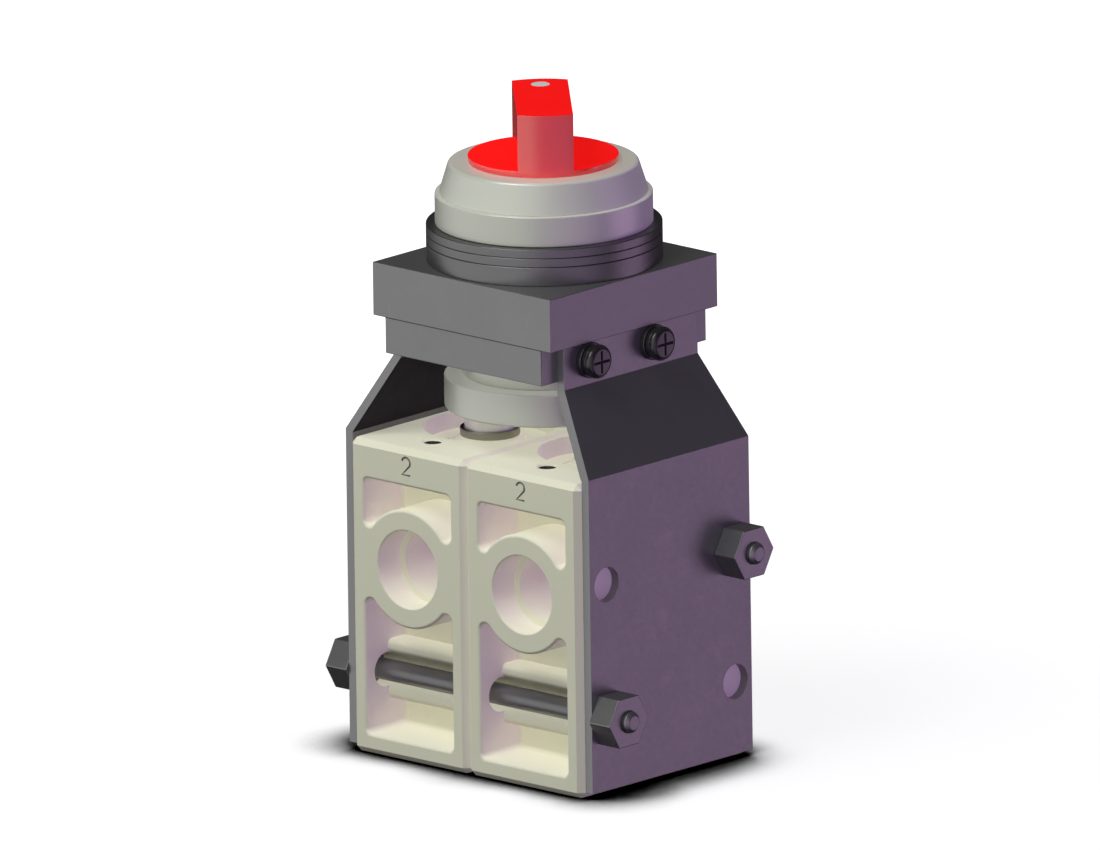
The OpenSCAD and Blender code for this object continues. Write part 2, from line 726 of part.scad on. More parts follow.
module knob_pin() color(STEEL) rotate([0, 0, grip_angle]) translate([0, 0, knob_pin_z]) rotate([-90, 0, 0])
  bar(knob_pin_d, -hub_d / 2 + knob_pin_inset, hub_d / 2 - knob_pin_inset);

module cam_disc() color(GREY) difference() {
  bar(cam_d, cam_z, neck_z);
  bar(spindle_d + 2 * fit_gap, spindle_z, neck_z + cut);
  bar(cam_screw_d + 2 * fit_gap, cam_z - cut, neck_z);
  intersection() {
    tube(2 * body_x + 2 * groove_half, 2 * body_x - 2 * groove_half, cam_z - cut, neck_z - cam_roof);
    translate([0, 0, cam_mean_z]) rotate([0, 0, grip_angle]) rotate([0, -cam_tilt, 0])
      block(2 * cam_d, 2 * cam_d, -2 * cam_h, 0);
  }
}

module cam_neck() color(GREY)
  tube(neck_d, spindle_d + 2 * fit_gap, neck_z, block_z + neck_entry);

module cam_screw() color(STEEL) difference() {
  union() {
    bar(cam_screw_head_d, cam_z - cam_screw_head_h, cam_z);
    bar(cam_screw_d, cam_z - fit_gap, cam_z + cam_screw_len);
  }
  translate([0, 0, cam_z - cam_screw_head_h - cut])
    cylinder(d = cam_socket_af / cos(30), h = cut + cam_socket_depth, $fn = 6);
}

valve_body(-1);  // left_body
valve_body(1);  // right_body
guide_bush(-1);  // left_guide_bush
guide_bush(1);  // right_guide_bush
plunger_collar(-1);  // left_plunger_collar
plunger_collar(1);  // right_plunger_collar
rod_seal(-1);  // left_rod_seal
rod_seal(1);  // right_rod_seal
plunger(-1);  // left_plunger
plunger(1);  // right_plunger
return_spring(-1);  // left_return_spring
return_spring(1);  // right_return_spring
seat(-1);  // left_seat
seat(1);  // right_seat
seat_seal(-1);  // left_seat_seal
seat_seal(1);  // right_seat_seal
poppet(-1);  // left_poppet
poppet(1);  // right_poppet
poppet_seal(-1);  // left_poppet_seal
poppet_seal(1);  // right_poppet_seal
poppet_spring(-1);  // left_poppet_spring
poppet_spring(1);  // right_poppet_spring
bottom_plug(-1);  // left_bottom_plug
bottom_plug(1);  // right_bottom_plug
plug_seal(-1);  // left_plug_seal
plug_seal(1);  // right_plug_seal
front_tie_rod();
rear_tie_rod();
tie_rod_nuts();
side_plate(-1);  // left_side_plate
side_plate(1);  // right_side_plate
plate_screws();
spring_washers();
flat_washers();
operator_block();
panel_gasket();
lower_washer();
upper_washer();
lock_ring();
bezel();
threaded_barrel();
spindle();
spindle_bush();
spindle_seal();
wave_washer();
stop_disc();
stop_pin();
knob();
knob_marker();
knob_pin();
cam_disc();
cam_neck();
cam_screw();
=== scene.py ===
import json
import math
import bmesh
import bpy
from mathutils import Matrix, Vector


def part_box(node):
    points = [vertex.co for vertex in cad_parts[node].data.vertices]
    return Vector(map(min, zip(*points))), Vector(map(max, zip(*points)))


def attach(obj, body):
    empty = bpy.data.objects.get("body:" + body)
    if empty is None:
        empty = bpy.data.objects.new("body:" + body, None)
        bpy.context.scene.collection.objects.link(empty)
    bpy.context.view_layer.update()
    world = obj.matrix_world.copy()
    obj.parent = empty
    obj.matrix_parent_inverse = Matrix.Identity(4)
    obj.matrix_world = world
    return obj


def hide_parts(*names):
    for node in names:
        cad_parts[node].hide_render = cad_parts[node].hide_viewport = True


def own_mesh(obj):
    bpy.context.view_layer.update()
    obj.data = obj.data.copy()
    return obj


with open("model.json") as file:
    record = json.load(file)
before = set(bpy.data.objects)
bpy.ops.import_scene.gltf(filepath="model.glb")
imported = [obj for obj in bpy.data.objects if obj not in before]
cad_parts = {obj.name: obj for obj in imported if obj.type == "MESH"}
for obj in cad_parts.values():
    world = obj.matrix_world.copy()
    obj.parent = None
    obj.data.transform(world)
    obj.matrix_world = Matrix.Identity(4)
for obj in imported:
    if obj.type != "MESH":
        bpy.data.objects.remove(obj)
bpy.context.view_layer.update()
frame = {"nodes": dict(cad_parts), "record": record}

mm = 0.001
record = frame["record"]
bodyOf = {node: body for body, nodes in record["behaviour"]["bodies"].items() for node in nodes}
slotOf = {part["node"]: part["material_slot"] for part in record["subparts"]}
scene = bpy.context.scene
print("frame loaded:", len(frame["nodes"]), "nodes")


# Camera, lamps and world

view = {
    "azimuth": 42.99, "elevation": 14.47, "roll": -0.80,
    "imageWidth": 1100, "imageHeight": 850, "pixelsPerMm": 6.111,
    "aim": (0, 0, 60), "aimPixel": (546.6, 396.35), "distance": 700,
}


def placeCamera():
    azimuth, elevation, roll = (math.radians(view[k]) for k in ("azimuth", "elevation", "roll"))
    back = Vector((math.sin(azimuth) * math.cos(elevation), -math.cos(azimuth) * math.cos(elevation),
                   math.sin(elevation)))
    level = Vector((math.cos(azimuth), math.sin(azimuth), 0))
    right = math.cos(roll) * level + math.sin(roll) * back.cross(level)
    up = back.cross(right)
    offRight = (view["imageWidth"] / 2 - view["aimPixel"][0]) / view["pixelsPerMm"]
    offUp = (view["aimPixel"][1] - view["imageHeight"] / 2) / view["pixelsPerMm"]
    centre = Vector(view["aim"]) + offRight * right + offUp * up
    lens = bpy.data.cameras.new("camera")
    lens.type = "ORTHO"
    lens.ortho_scale = view["imageWidth"] / view["pixelsPerMm"] * mm
    lens.clip_end = 5
    camera = bpy.data.objects.new("camera", lens)
    scene.collection.objects.link(camera)
    turn = Matrix((right, up, back)).transposed().to_4x4()
    camera.matrix_world = Matrix.Translation((centre + view["distance"] * back) * mm) @ turn
    scene.camera = camera


lamps = {
    # azimuth 0 is in front of the valve and 90 on its right; only the softbox casts shadows and is mirrored
    "key softbox": {"azimuth": -7, "elevation": 55, "size": 0.5, "power": 3.5, "colour": (0.98, 1.0, 0.99)},
    "key fill": {"azimuth": -7, "elevation": 55, "size": 0.5, "power": 5.3, "colour": (0.98, 1.0, 0.99)},
    "top fill": {"azimuth": 0, "elevation": 85, "size": 0.6, "power": 2.0, "colour": (1.0, 1.0, 0.99)},
    "lavender fill": {"azimuth": 120, "elevation": 6, "size": 0.4, "power": 3.5, "colour": (0.60, 0.28, 1.0)},
    "rear fill": {"azimuth": 190, "elevation": 8, "size": 0.5, "power": 3.2, "colour": (1.0, 1.0, 0.99)},
}


def placeLamp(name, values):
    # a lamp one metre off, aimed at the middle of the valve
    a, e = math.radians(values["azimuth"]), math.radians(values["elevation"])
    back = Vector((math.sin(a) * math.cos(e), -math.cos(a) * math.cos(e), math.sin(e)))
    lamp = bpy.data.lights.new(name, "AREA")
    lamp.size = values["size"]
    lamp.energy = values["power"]
    lamp.color = values["colour"]
    lamp.use_shadow = name == "key softbox"
    box = bpy.data.objects.new(name, lamp)
    box.location = Vector((0, 0, 0.055)) + back
    box.rotation_euler = back.to_track_quat("Z", "Y").to_euler()
    box.visible_glossy = lamp.use_shadow
    scene.collection.objects.link(box)


placeCamera()
for name, values in lamps.items():
    placeLamp(name, values)
scene.view_settings.view_transform = "Standard"
print("camera and lamps placed")


# Shader sums, written as plain expressions

class Socket:
    def __init__(self, look, link):
        self.look, self.link = look, link

    def join(self, operation, first, second):
        return self.look.node("ShaderNodeMath", {"operation": operation}, {0: first, 1: second})

    def __add__(self, other): return self.join("ADD", self, other)
    def __radd__(self, other): return self.join("ADD", other, self)
    def __sub__(self, other): return self.join("SUBTRACT", self, other)
    def __rsub__(self, other): return self.join("SUBTRACT", other, self)
    def __mul__(self, other): return self.join("MULTIPLY", self, other)
    def __rmul__(self, other): return self.join("MULTIPLY", other, self)
    def atLeast(self, other): return self.join("MAXIMUM", self, other)


class Look:
    # one material, or the world, and the nodes that it is made of
    def __init__(self, name, world=None):
        self.material = world or bpy.data.materials.new(name)
        self.material.use_nodes = True
        self.tree = self.material.node_tree
        self.shader = self.tree.nodes.get("Principled BSDF")
        self.coords = self.node("ShaderNodeTexCoord", {}, {}, "Object")

    def node(self, kind, settings, inputs, output=0):
        made = self.tree.nodes.new(kind)
        for key, value in settings.items():
            setattr(made, key, value)
        for key, value in inputs.items():
            self.feed(made.inputs[key], value)
        return Socket(self, made.outputs[output])

    def feed(self, socket, value):
        if isinstance(value, Socket):
            self.tree.links.new(value.link, socket)
        elif socket.type == "RGBA":
            socket.default_value = (*value[:3], 1)
        else:
            socket.default_value = value

    def set(self, values):
        for key, value in values.items():
            self.feed(self.shader.inputs[key], value)

    def noise(self, scale, detail=2.0, stretch=(1, 1, 1), roughness=0.5):
        place = self.node("ShaderNodeMapping", {}, {"Vector": self.coords, "Scale": stretch})
        return self.node("ShaderNodeTexNoise", {},
                         {"Vector": place, "Scale": scale, "Detail": detail, "Roughness": roughness}, "Fac")

    def band(self, value, low, high):
        # 0 below low, 1 above high, and smooth between
        return self.node("ShaderNodeMapRange", {"interpolation_type": "SMOOTHSTEP"},
                         {"Value": value, "From Min": low, "From Max": high, "To Min": 0, "To Max": 1}, "Result")

    def spots(self, scale, size):
        # small round spots, 1 inside a spot and 0 outside
        cells = self.node("ShaderNodeTexVoronoi", {"feature": "F1"}, {"Vector": self.coords, "Scale": scale},
                          "Distance")
        return 1 - self.band(cells, size * 0.6, size)

    def mix(self, factor, first, second):
        return self.node("ShaderNodeMix", {"data_type": "RGBA"}, {0: factor, 6: first, 7: second}, 2)

    def bump(self, height, depth, strength):
        return self.node("ShaderNodeBump", {}, {"Height": height, "Distance": depth * mm, "Strength": strength},
                         "Normal")

    def along(self, vector, direction):
        return self.node("ShaderNodeVectorMath", {"operation": "DOT_PRODUCT"}, {0: vector, 1: direction}, "Value")

    def upward(self):
        # 1 where the surface faces up and 0 on its sides
        facing = self.node("ShaderNodeTexCoord", {}, {}, "Normal")
        return self.band(self.along(facing, (0, 0, 1)), 0.6, 0.9)

    def rays(self):
        path = self.tree.nodes.new("ShaderNodeLightPath").outputs
        return [Socket(self, path[key]) for key in ("Is Camera Ray", "Is Glossy Ray", "Is Transmission Ray")]


worldTone = {
    "seen": (1, 1, 1), "light": (0.06, 0.06, 0.062), "dark": (0.04, 0.04, 0.04), "white": (1, 1, 1),
    "lavender": (0.90, 0.62, 0.97), "haze": (0.55, 0.42, 0.62), "frontPanel": (-0.29, -0.957, 0),
    "rightPanel": (0.66, 0.708, -0.25), "corner": (0.885, -0.394, -0.25), "ceiling": (-0.5, 0, 0.866),
}


def makeWorld():
    # white behind the valve, even as a light, and a dark studio with three bright panels in reflections
    scene.world = bpy.data.worlds.new("studio")
    look = Look("studio", scene.world)
    w = worldTone
    camera, glossy, clear = look.rays()
    toward = look.node("ShaderNodeTexCoord", {}, {}, "Generated")
    front = look.band(look.along(toward, w["frontPanel"]), -0.05, 0.8)
    front = front * look.band(look.along(toward, (0, 0, 1)), -0.60, -0.33)
    front = front * (1 - look.band(look.along(toward, w["ceiling"]), 0.55, 0.72))
    corner = look.band(look.along(toward, w["corner"]), 0.70, 1.0)
    right = look.band(look.along(toward, w["rightPanel"]), 0.90, 0.99)
    mirrored = look.mix(corner, look.mix(front, w["dark"], w["white"]), w["haze"])
    mirrored = look.mix(right, mirrored, w["lavender"])
    lit = look.mix(camera.atLeast(clear), w["light"], w["seen"])
    look.feed(look.tree.nodes["Background"].inputs["Color"], look.mix(glossy, lit, mirrored))


makeWorld()


def ivoryPlastic():
    look = Look("ivory moulded plastic")
    cloud = look.noise(38, 4)
    grain = look.noise(2300, 3, roughness=0.65)
    flow = look.noise(90, 3, stretch=(1, 1, 0.25))
    speck = look.spots(420, 0.1)
    tone = look.mix(cloud, (0.752, 0.742, 0.590), (0.800, 0.790, 0.640))
    tone = look.mix(flow * 0.35, tone, (0.735, 0.718, 0.562))
    look.set({"Base Color": look.mix(speck * 0.2, tone, (0.60, 0.57, 0.43)),
              "Roughness": 0.42 + grain * 0.16 + cloud * 0.06,
              "Normal": look.bump(grain * 0.7 + flow * 0.3, 0.03, 0.5), "Specular IOR Level": 0.35})
    return look.material


def greyPlastic():
    look = Look("light grey moulded plastic")
    cloud = look.noise(55, 4)
    grain = look.noise(2600, 3, roughness=0.6)
    look.set({"Base Color": look.mix(cloud, (0.565, 0.575, 0.500), (0.610, 0.620, 0.542)), "Metallic": 0.2,
              "Roughness": 0.26 + grain * 0.14, "Normal": look.bump(grain, 0.03, 0.5), "IOR": 1.8})
    return look.material


def darkMetal(name, tint, metallic, roughness, grainScale):
    # dark coating over metal, with a fine texture and rubbed patches
    look = Look(name)
    cloud = look.noise(70, 5)
    grain = look.noise(grainScale, 3, roughness=0.6)
    rub = look.band(look.noise(210, 6, roughness=0.7), 0.56, 0.74)
    dark = tuple(c * 0.86 for c in tint)
    bright = tuple(c * 1.2 for c in tint)
    look.set({"Base Color": look.mix(rub * 0.12, look.mix(cloud, dark, tint), bright),
              "Roughness": roughness + grain * 0.14 - rub * 0.03,
              "Normal": look.bump(grain, 0.03, 0.4), "Metallic": metallic})
    return look.material


def rubber():
    look = Look("black rubber")
    dust = look.noise(160, 5, roughness=0.7)
    grain = look.noise(1900, 3)
    look.set({"Base Color": look.mix(dust, (0.020, 0.019, 0.020), (0.040, 0.038, 0.040)),
              "Roughness": 0.42 + grain * 0.2, "Normal": look.bump(grain, 0.04, 0.5)})
    return look.material


def redPlastic():
    look = Look("red moulded plastic")
    cloud = look.noise(60, 4)
    grain = look.noise(2400, 3, roughness=0.6)
    # satin on top and glossy on the sides
    look.set({"Base Color": look.mix(cloud, (0.97, 0.006, 0.006), (1.0, 0.010, 0.009)),
              "Roughness": 0.34 + grain * 0.12, "Normal": look.bump(grain, 0.02, 0.4),
              "Coat Weight": 1 - look.upward(), "Coat IOR": 2.1, "Coat Roughness": 0.16, "Specular IOR Level": 0.05})
    return look.material


def markerPlastic():
    look = Look("pale marker inlay")
    grain = look.noise(1600, 2)
    look.set({"Base Color": look.mix(grain, (0.48, 0.50, 0.46), (0.58, 0.60, 0.55)),
              "Roughness": 0.4 + grain * 0.2, "Normal": look.bump(grain, 0.02, 0.5), "Specular IOR Level": 0.3})
    return look.material


def engravedFigureShade():
    # painted shade: the groove of an engraved figure coloured dark, as if shadowed
    look = Look("engraved figure")
    grain = look.noise(2300, 3)
    look.set({"Base Color": look.mix(grain, (0.16, 0.155, 0.12), (0.24, 0.235, 0.19)), "Roughness": 0.6 + grain * 0.2,
              "Normal": look.bump(grain, 0.02, 0.4)})
    return look.material


def glossyBlack():
    look = Look("blackened screw steel")
    grain = look.noise(1500, 3)
    look.set({"Base Color": look.mix(grain, (0.010, 0.009, 0.010), (0.018, 0.017, 0.018)),
              "Roughness": 0.16 + grain * 0.12, "Normal": look.bump(grain, 0.02, 0.4), "IOR": 1.6})
    return look.material


def paintedShadeBlack():
    # painted shade: the plate coating made near-black and matt on the plates' inner slopes, which face down and away
    # from the light
    look = Look("plate coating with painted shade")
    dust = look.noise(140, 5, roughness=0.65)
    grain = look.noise(1700, 3)
    look.set({"Base Color": look.mix(dust, (0.010, 0.010, 0.011), (0.018, 0.017, 0.018)),
              "Roughness": 0.7 + grain * 0.2, "Normal": look.bump(grain, 0.03, 0.4), "Specular IOR Level": 0.2})
    return look.material


def turnedMetal(name, tint, roughness, metallic=1.0):
    # fine lines from turning, round the upright axis of a piece
    look = Look(name)
    lines = look.noise(1, 2, stretch=(60, 60, 5200))
    cloud = look.noise(120, 4)
    look.set({"Base Color": look.mix(cloud, tuple(c * 0.86 for c in tint), tint),
              "Roughness": roughness + lines * 0.12, "Normal": look.bump(lines, 0.012, 0.4), "Metallic": metallic})
    return look.material


looks = {
    "ivory_plastic": ivoryPlastic(),
    "grey_plastic": greyPlastic(),
    "black_plate": darkMetal("black coated sheet", (0.255, 0.252, 0.256), 0.84, 0.34, 1500),
    "black_block": darkMetal("black coated casting", (0.262, 0.260, 0.262), 0.84, 0.36, 1900),
    "black_steel": darkMetal("black oxide steel", (0.250, 0.247, 0.252), 0.85, 0.30, 1700),
    "rubber": rubber(),
    "red_plastic": redPlastic(),
    "marker_plastic": markerPlastic(),
    "steel": turnedMetal("turned steel", (0.56, 0.56, 0.57), 0.26),
    "chrome": turnedMetal("chromed steel", (0.80, 0.80, 0.82), 0.12, 0.5),
    "brass": turnedMetal("turned brass", (0.70, 0.50, 0.20), 0.26),
}
# pieces whose finish differs from the others of their slot
ownLook = dict.fromkeys(("plate_screws", "spring_washers", "flat_washers"), glossyBlack())
ownLook.update(dict.fromkeys(("panel_gasket", "lower_washer", "upper_washer"),
                             darkMetal("blackened ring", (0.200, 0.198, 0.202), 0.96, 0.30, 1800)))
ownLook.update(dict.fromkeys(("left_plunger_collar", "right_plunger_collar"),
                             turnedMetal("collar steel", (0.34, 0.335, 0.30), 0.28)))
print("materials made:", len(looks) + 3)


def lookOf(node):
    return ownLook.get(node, looks[slotOf[node]])


# Modelling helpers; sizes in millimetres

def boxOf(node):
    # lowest and highest corner of a CAD node
    low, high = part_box(node)
    return Vector(low) / mm, Vector(high) / mm


def addObject(name, mesh):
    piece = bpy.data.objects.new(name, mesh)
    scene.collection.objects.link(piece)
    return piece


def shade(piece, sharpness=32):
    mesh = piece.data
    mesh.polygons.foreach_set("use_smooth", [True] * len(mesh.polygons))
    mesh.set_sharp_from_angle(angle=math.radians(sharpness))
    return piece


def toPiece(name, bm):
    bmesh.ops.remove_doubles(bm, verts=bm.verts, dist=0.00005)
    bmesh.ops.recalc_face_normals(bm, faces=bm.faces)
    bmesh.ops.scale(bm, vec=(mm, mm, mm), verts=bm.verts)
    mesh = bpy.data.meshes.new(name)
    bm.to_mesh(mesh)
    bm.free()
    return shade(addObject(name, mesh))


def fromPiece(source):
    # a bmesh in millimetres with its flat areas joined again
    bm = bmesh.new()
    bm.from_mesh(source.data)
    bmesh.ops.scale(bm, vec=(1 / mm,) * 3, verts=bm.verts)
    bmesh.ops.remove_doubles(bm, verts=bm.verts, dist=0.002)
    bmesh.ops.dissolve_limit(bm, angle_limit=math.radians(0.5), verts=bm.verts, edges=bm.edges)
    return bm


def roundEdges(bm, width, choose=None, segments=3, angle=28, clamp=True):
    # rounds the sharp edges that choose() picks by their two ends
    picked = [edge for edge in bm.edges
              if len(edge.link_faces) == 2 and edge.calc_face_angle() > math.radians(angle)
              and (choose is None or choose(edge.verts[0].co, edge.verts[1].co))]
    bmesh.ops.bevel(bm, geom=picked, offset=width, segments=segments, profile=0.5, affect="EDGES",
                    clamp_overlap=clamp, material=-1, offset_type="OFFSET")
    bmesh.ops.remove_doubles(bm, verts=bm.verts, dist=0.002)


def soften(piece, width, choose=None, segments=3, angle=28, clamp=True):
    bm = fromPiece(piece)
    roundEdges(bm, width, choose, segments, angle, clamp)
    softened = toPiece(piece.name, bm)
    bpy.data.objects.remove(piece)
    return softened


def lathe(name, profile, middle=(0, 0, 0), turn=None, steps=128, segments=3):
    # spins a closed profile of (radius, height, rounding) corners about Z and rounds its rings
    bm = bmesh.new()
    ring = [bm.verts.new((radius, 0, height)) for radius, height, rounding in profile]
    edges = [bm.edges.new((ring[i - 1], ring[i])) for i in range(len(ring))]
    bmesh.ops.spin(bm, geom=ring + edges, cent=(0, 0, 0), axis=(0, 0, 1), dvec=(0, 0, 0),
                   angle=2 * math.pi, steps=steps, use_merge=True)
    bmesh.ops.remove_doubles(bm, verts=bm.verts, dist=0.0001)
    bmesh.ops.dissolve_degenerate(bm, edges=bm.edges, dist=0.0001)
    for radius, height, rounding in profile:
        if rounding:
            roundEdges(bm, rounding, lambda a, b: all(
                abs(math.hypot(p.x, p.y) - radius) < 0.003 and abs(p.z - height) < 0.003 for p in (a, b)), segments, 15)
    if turn is not None:
        bmesh.ops.transform(bm, matrix=turn, verts=bm.verts)
    bmesh.ops.translate(bm, vec=middle, verts=bm.verts)
    return toPiece(name, bm)


def cuboid(name, low, high):
    bm = bmesh.new()
    bmesh.ops.create_cube(bm, size=1)
    bmesh.ops.scale(bm, vec=[h - l for l, h in zip(low, high)], verts=bm.verts)
    bmesh.ops.translate(bm, vec=[(l + h) / 2 for l, h in zip(low, high)], verts=bm.verts)
    return toPiece(name, bm)


def carve(piece, cutter, operation="DIFFERENCE"):
    # one exact boolean, kept in the mesh
    step = piece.modifiers.new("carve", "BOOLEAN")
    step.operation, step.object, step.solver = operation, cutter, "EXACT"
    graph = bpy.context.evaluated_depsgraph_get()
    mesh = bpy.data.meshes.new_from_object(piece.evaluated_get(graph))
    piece.modifiers.clear()
    piece.data = mesh
    bpy.data.objects.remove(cutter)
    return piece


def placedCopy(piece, name, place):
    # a copy with its place, in millimetres, put into its mesh
    mesh = piece.data.copy()
    toMm, toMetres = Matrix.Scale(1 / mm, 4), Matrix.Scale(mm, 4)
    mesh.transform(toMetres @ place @ toMm)
    if place.determinant() < 0:
        mesh.flip_normals()
    return addObject(name, mesh)


def gather(name, pieces):
    # several solids as one piece
    bm = bmesh.new()
    for piece in pieces:
        bm.from_mesh(piece.data)
        bpy.data.objects.remove(piece)
    mesh = bpy.data.meshes.new(name)
    bm.to_mesh(mesh)
    bm.free()
    return shade(addObject(name, mesh))


def dress(piece, node):
    # gives a piece its finish and lets it stand for a CAD node
    piece.data.materials.clear()
    piece.data.materials.append(lookOf(node))
    piece.modifiers.new("even normals", "WEIGHTED_NORMAL").keep_sharp = True
    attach(piece, bodyOf[node])
    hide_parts(node)
    return piece


def addFinish(piece, material, choose):
    # one more finish, on the faces that choose() picks by centre, in millimetres, and direction
    piece.data.materials.append(material)
    for face in piece.data.polygons:
        if choose(face.center / mm, face.normal):
            face.material_index = len(piece.data.materials) - 1


def softCopy(node, width, choose=None, segments=3, angle=28):
    # the CAD solid with its sharp edges rounded
    bm = fromPiece(frame["nodes"][node])
    roundEdges(bm, width, choose, segments, angle)
    return dress(toPiece(node + "_soft", bm), node)


alongX = Matrix.Rotation(math.radians(90), 4, "Y")
alongY = Matrix.Rotation(math.radians(-90), 4, "X")


# Valve bodies

valveBody = {
    "chamfer": 1.0, "windowHalf": 9.6, "windowDepth": 9.4, "upperWindow": (38.6, 46.6), "lowerWindow": (3.4, 26.3),
    "windowCorner": 0.9, "windowBack": 0.6, "windowLip": 0.53, "portHeight": 32.6, "portRadius": 6.58, "portDepth": 5.2,
    "portInner": 5.5, "bossRadius": 10.0, "rodHeight": 13.25, "rodInset": 5.0, "rodHole": 2.9,
    "saddleHalf": 5.05, "saddleReach": 4.0, "saddleRound": 1.0, "faceMiddle": 24.475,
    "recessRim": 11.05, "recessWall": 10.65, "recessRimHeight": 1.2, "recessDepth": 2.8,
    "bushBore": 7.25, "chamberBore": 7.0, "seatBore": 7.5, "plugBore": 8.25, "plugTop": 7.4, "seatTop": 26.475,
    "bushLength": 7.2, "topHole": 1.5, "topHoleDepth": 4.5, "topHoleInset": 6.5,
    "digitHeight": 2.95, "digitWidth": 1.8, "digitMiddle": 50.05, "digitStroke": 0.2,
}


def rodBar(name, radius, halfLength, place):
    # a round bar from side to side, through place in the YZ plane
    profile = [(0, -halfLength, 0), (radius, -halfLength, 0), (radius, halfLength, 0), (0, halfLength, 0)]
    return lathe(name, profile, (0, *place), alongX, 96)


def windowCutter(name, far, near, halfDepth):
    # a window from its far edge to the two round tips that it has beside the port's boss
    v = valveBody
    half, boss = v["windowHalf"], v["bossRadius"]
    way = 1 if near > far else -1
    reach = (v["portHeight"] - near) * way
    m = half - reach + boss
    tip = m - math.sqrt(m * m - half * half - reach * reach + boss * boss)
    tipX, tipZ = half - tip, near - way * tip
    touchZ = v["portHeight"] - way * boss * (reach + tip) / (boss + tip)
    front, wallY = -halfDepth - 2, -halfDepth + v["windowDepth"]
    cutter = cuboid(name, (-half, front, min(far, tipZ)), (half, wallY, max(far, tipZ)))
    atFar = lambda a, b: abs(a.z - far) < 0.01 and abs(b.z - far) < 0.01
    cutter = soften(cutter, v["windowCorner"], lambda a, b: atFar(a, b) and abs(a.y - b.y) > 1, 4)
    atNear = lambda a, b: abs(a.z - tipZ) < 0.01 and abs(b.z - tipZ) < 0.01
    cutter = soften(cutter, v["windowBack"], lambda a, b: min(a.y, b.y) > wallY - 0.01 and not atNear(a, b), 3,
                    clamp=False)
    carve(cutter, cuboid("between tips", (-tipX, front, min(touchZ, tipZ - way)), (tipX, wallY, max(touchZ, tipZ - way))),
          "UNION")
    for side in (-1, 1):
        tipEnd = lathe("tip", [(0, front, 0), (tip, front, 0), (tip, wallY, v["windowBack"]), (0, wallY, 0)],
                      (side * tipX, 0, tipZ), alongY, 48)
        carve(cutter, tipEnd, "UNION")
    return carve(cutter, lathe("boss", [(0, front - 1, 0), (boss, front - 1, 0), (boss, wallY + 1, 0), (0, wallY + 1, 0)],
                               (0, 0, v["portHeight"]), alongY))


def saddleBar(halfDepth):
    # the bar behind the rod, with its channel and the round lips of the channel
    v = valveBody
    back = -halfDepth + v["windowDepth"]
    front = back - v["saddleReach"]
    half, lip = v["saddleHalf"], v["saddleRound"]
    rodY, rodZ, bore = v["rodInset"] - halfDepth, v["rodHeight"], v["rodHole"]
    bar = cuboid("saddle", (-v["windowHalf"] - 1, front, rodZ - half), (v["windowHalf"] + 1, back + 1, rodZ + half))
    bar = soften(bar, lip, lambda a, b: max(a.y, b.y) < front + 0.01 and abs(a.x - b.x) > 1, 6)
    lipY = front + lip
    lipZ = math.sqrt((bore + lip) ** 2 - (lipY - rodY) ** 2)
    touchY = rodY + (lipY - rodY) * bore / (bore + lip)
    mouth = cuboid("channel mouth", (-15, front - 2, rodZ - lipZ), (15, touchY, rodZ + lipZ))
    for side in (-1, 1):
        carve(mouth, rodBar("channel lip", lip, 16, (lipY, rodZ + side * lipZ)))
    carve(bar, mouth)
    return carve(bar, rodBar("channel", bore, 16, (rodY, rodZ)))


def windowCutters(halfDepth):
    v = valveBody
    upper = windowCutter("upper window", v["upperWindow"][1], v["upperWindow"][0], halfDepth)
    lower = windowCutter("lower window", v["lowerWindow"][0], v["lowerWindow"][1], halfDepth)
    return [upper, carve(lower, saddleBar(halfDepth))]


def boreCutters(halfDepth):
    v = valveBody
    mouth, lip = v["portRadius"], 0.15
    port = lathe("port", [(0, -2, 0), (mouth + lip, -2, 0), (mouth + lip, 0, 0), (mouth, lip, 0),
                          (mouth, v["portDepth"], 0), (v["portInner"], v["portDepth"] + 0.25, 0),
                          (v["portInner"], halfDepth - 4, 0), (0, halfDepth - 4, 0)],
                 (0, -halfDepth, v["portHeight"]), alongY)
    return [port, rodBar("rod hole", v["rodHole"], 15, (v["rodInset"] - halfDepth, v["rodHeight"]))]


def stroke(name, path):
    # a thin round line along a path, for an engraved figure
    curve = bpy.data.curves.new(name, "CURVE")
    curve.dimensions = "3D"
    spline = curve.splines.new("POLY")
    spline.points.add(len(path) - 1)
    for point, place in zip(spline.points, path):
        point.co = (*(c * mm for c in place), 1)
    curve.bevel_depth = valveBody["digitStroke"] * mm
    curve.bevel_resolution = 2
    curve.use_fill_caps = True
    line = bpy.data.objects.new(name, curve)
    scene.collection.objects.link(line)
    graph = bpy.context.evaluated_depsgraph_get()
    mesh = bpy.data.meshes.new_from_object(line.evaluated_get(graph))
    bpy.data.objects.remove(line)
    return addObject(name, mesh)


def figureTwo(y):
    v = valveBody
    r, foot = v["digitWidth"] / 2, v["digitMiddle"] - v["digitHeight"] / 2
    top = foot + v["digitHeight"] - r
    arc = [(r * math.cos(math.radians(a)), y, top + r * math.sin(math.radians(a))) for a in range(165, -36, -15)]
    return stroke("figure two", arc + [(-r, y, foot), (r, y, foot)])


def figureOne(y):
    v = valveBody
    foot = v["digitMiddle"] - v["digitHeight"] / 2
    return stroke("figure one", [(0.6, y, foot + 0.75 * v["digitHeight"]), (0, y, foot + v["digitHeight"]), (0, y, foot)])


